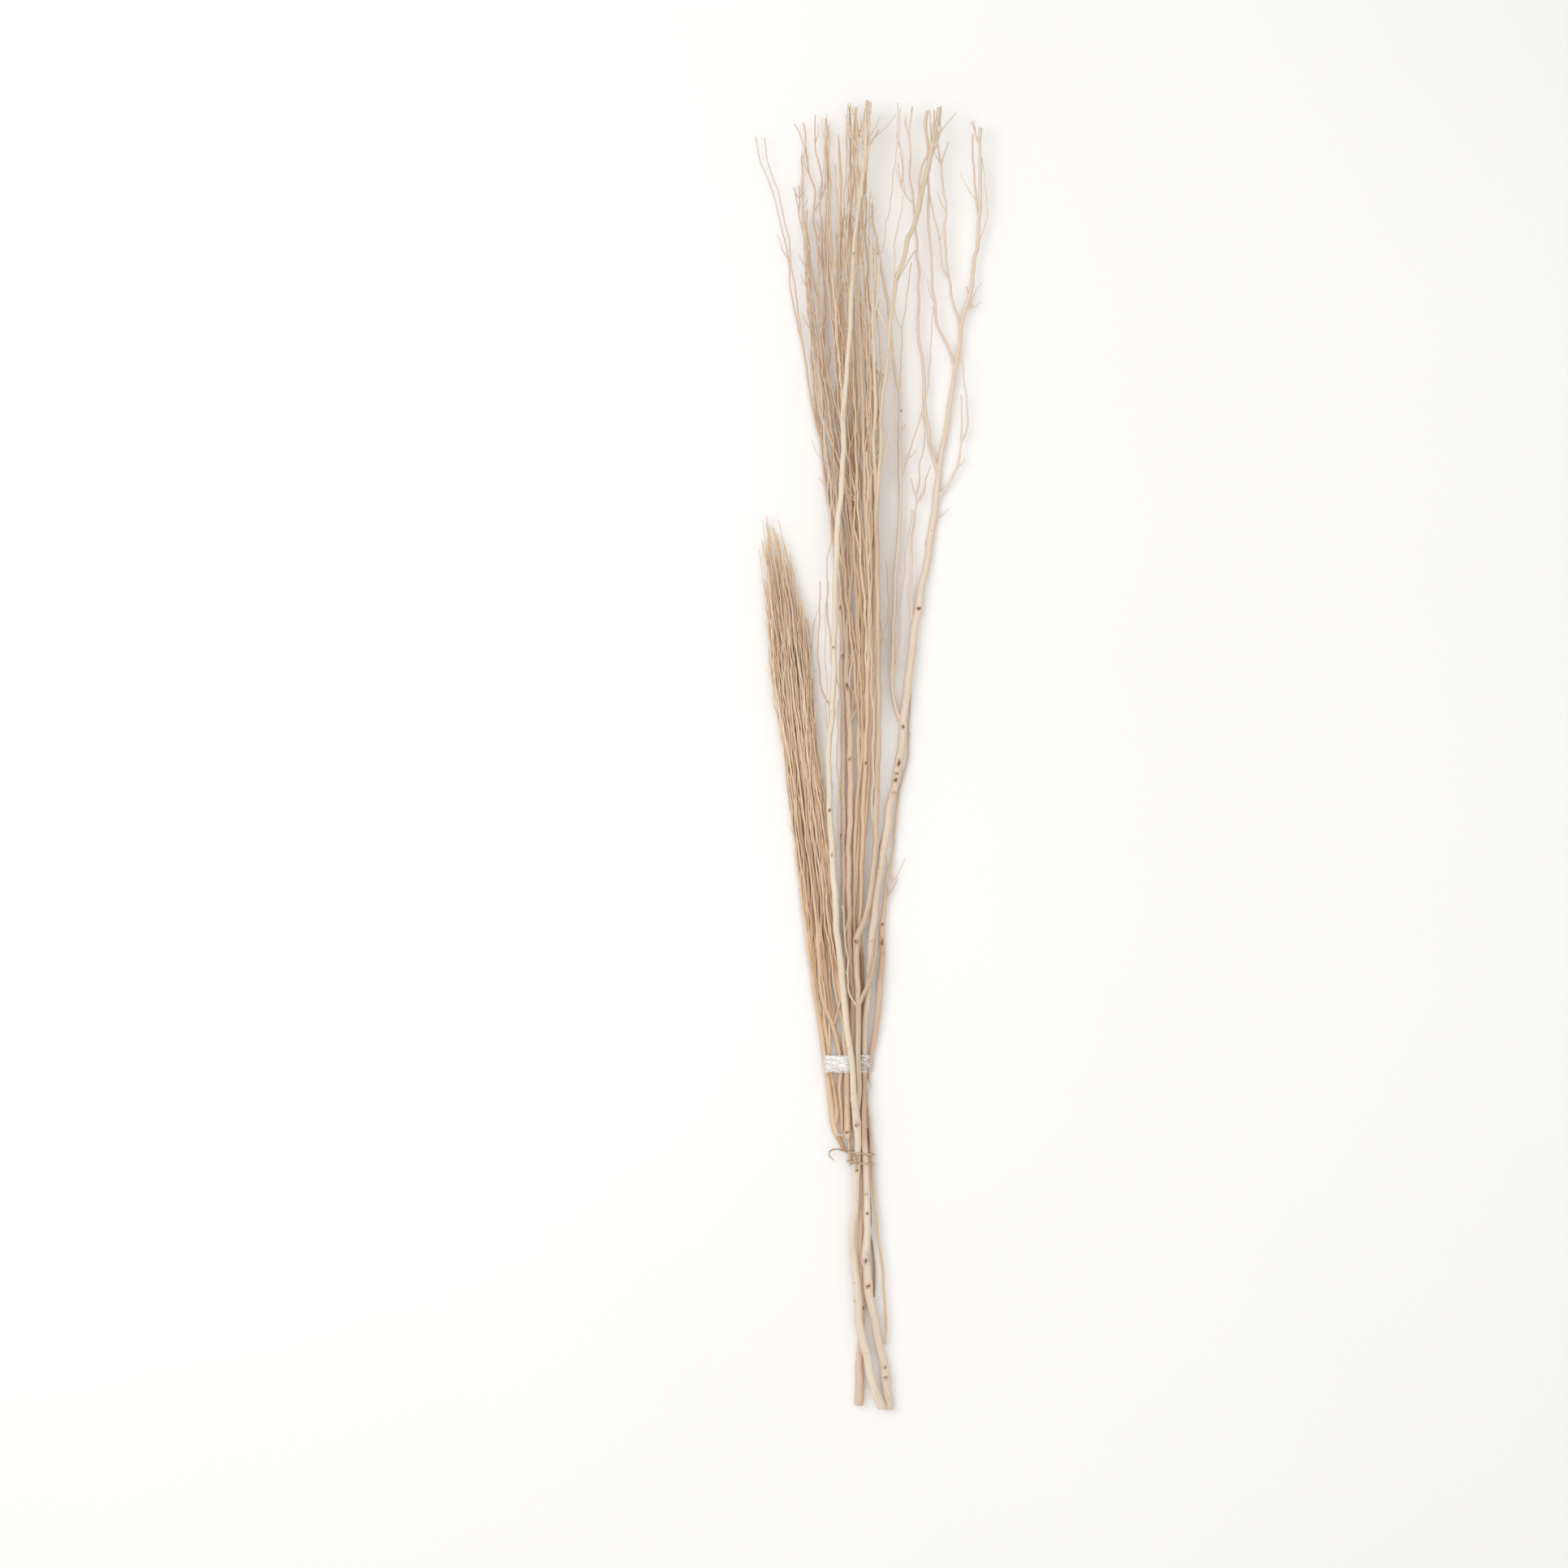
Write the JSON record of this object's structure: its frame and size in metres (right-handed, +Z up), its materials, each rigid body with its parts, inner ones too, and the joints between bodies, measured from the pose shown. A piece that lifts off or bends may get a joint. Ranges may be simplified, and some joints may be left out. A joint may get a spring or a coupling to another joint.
{
  "type": "dried pigeon pea bunch",
  "caption": "Long bunch of dried, peeled pigeon pea branches lying flat, with a shorter fine-twigged sheaf beside it, held by clear tape and a knotted bark tie.",
  "frame": {"origin": "Middle of the bunch on the ground: the centre of its box, at the plane that its low points rest on.", "axes": "+Y runs along the bunch from the cut butts to the tips, +X to the right seen from above, +Z up."},
  "size_m": [0.2853, 1.6045, 0.0503],
  "materials": {
    "pale_wood": "dry, peeled, matt",
    "pink_wood": "dry, peeled, matt",
    "tan_wood": "dry, peeled, matt",
    "brown_wood": "dry, peeled, matt",
    "sheaf_wood": "dry, peeled, matt",
    "clear_tape": "clear, creased, glossy",
    "bark_fibre": "dry bark fibre"
  },
  "bodies": {
    "root": {"front_branch": "pale_wood", "knotty_branch": "pink_wood", "left_cut_branch": "tan_wood", "left_fan_branch": "tan_wood", "middle_branch": "brown_wood", "thin_right_branch": "brown_wood", "right_side_branch": "tan_wood", "thin_low_twig": "brown_wood", "sheaf_left_spray": "sheaf_wood", "sheaf_middle_spray": "sheaf_wood", "sheaf_right_spray": "sheaf_wood", "tape_band": "clear_tape", "bark_tie": "bark_fibre", "pale_wisp": "pale_wood"}
  },
  "joints": []
}
